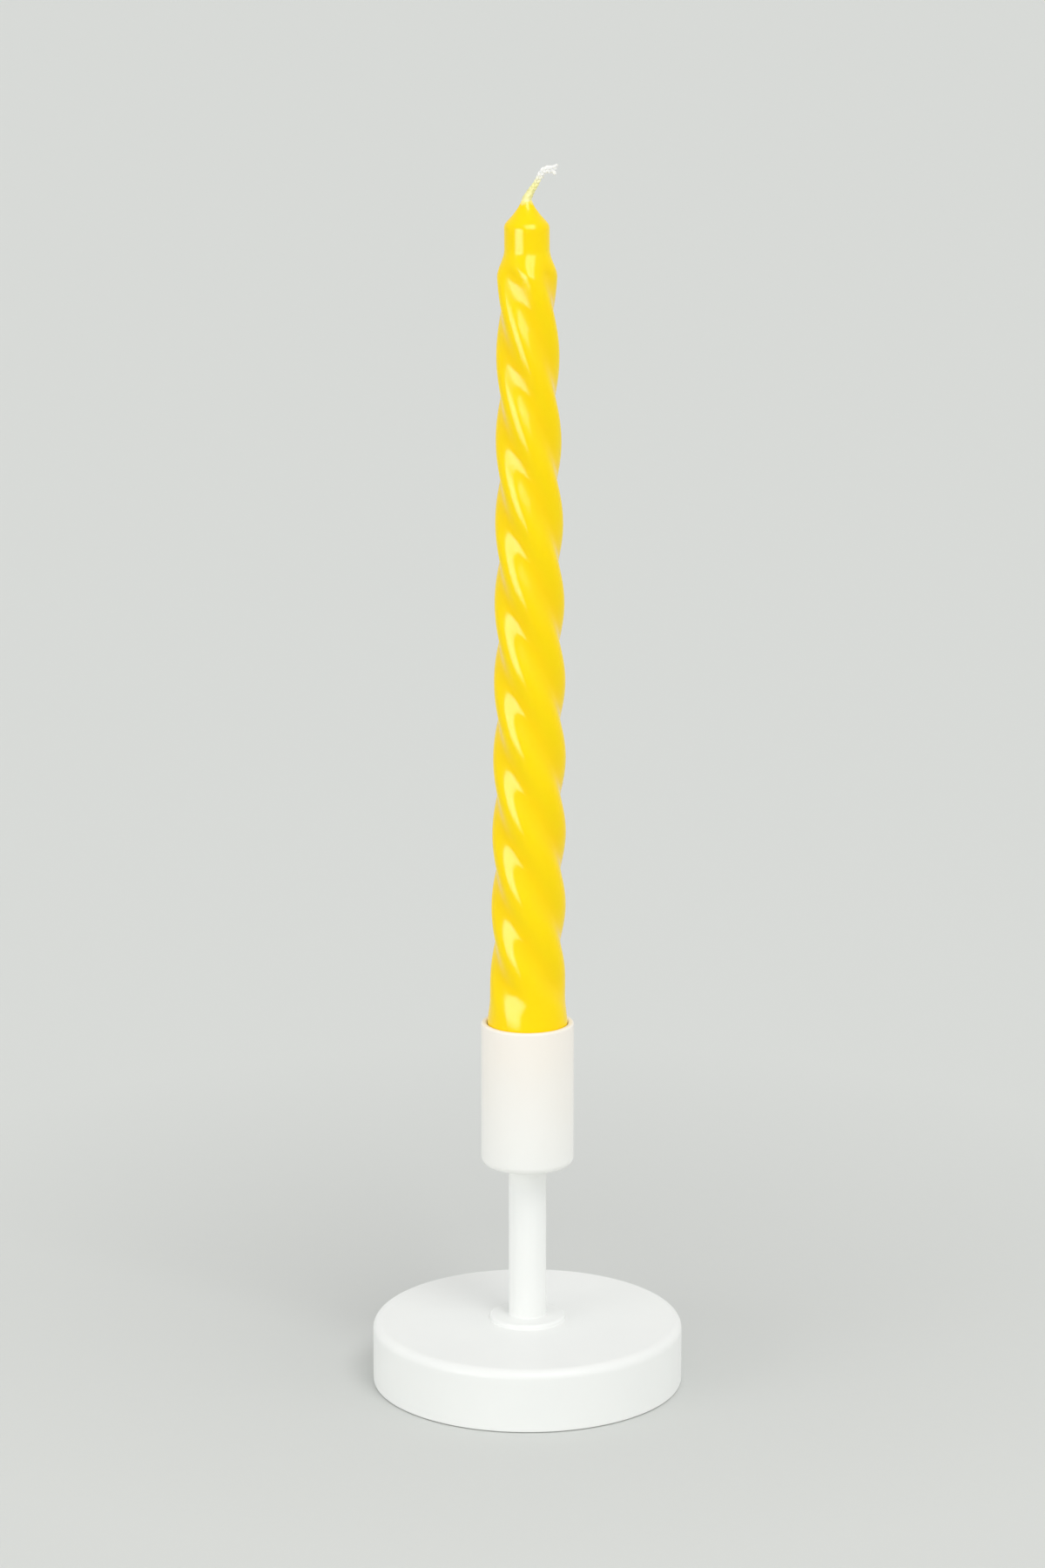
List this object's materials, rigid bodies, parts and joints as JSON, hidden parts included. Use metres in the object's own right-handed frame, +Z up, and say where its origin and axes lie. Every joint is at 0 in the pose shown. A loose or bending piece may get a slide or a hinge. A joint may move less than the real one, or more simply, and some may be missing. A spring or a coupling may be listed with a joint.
{
  "type": "twisted taper candle in a candle holder",
  "caption": "Left-twisted taper candle with a plain top and a bent cotton wick, standing in the deep cup of a slim white metal holder with a heavy round base. The candle lifts straight out.",
  "frame": {"origin": "centre of the felt pad's underside, where the holder stands on the table", "axes": "+Z up along the candle, -Y towards the viewer of the picture, +X to the viewer's right, the side that the wick leans to"},
  "size_m": [0.086, 0.086, 0.3374],
  "materials": {
    "white_paint": "glossy white paint on turned metal",
    "felt": "pressed grey felt",
    "screw_steel": "bright zinc-plated steel",
    "pale_wax": "undyed wax, matt",
    "yellow_wax": "bright yellow wax, dipped and glossy",
    "wick_cotton": "plaited bleached cotton with wax soaked into its foot"
  },
  "bodies": {
    "holder": {"base_pad": "felt", "base_disc": "white_paint", "base_washer": "screw_steel", "base_spring_washer": "screw_steel", "base_screw": "screw_steel", "foot_flange": "white_paint", "stem": "white_paint", "neck_collar": "white_paint", "cup": "white_paint", "cup_washer": "screw_steel", "cup_screw": "screw_steel"},
    "candle": {"candle_core": "pale_wax", "candle_coat": "yellow_wax", "wick": "wick_cotton"}
  },
  "joints": [
    {"name": "candle_lift", "type": "slide", "parent": "holder", "child": "candle", "axis": [0, 0, 1], "range_m": [0, 0.035]}
  ]
}
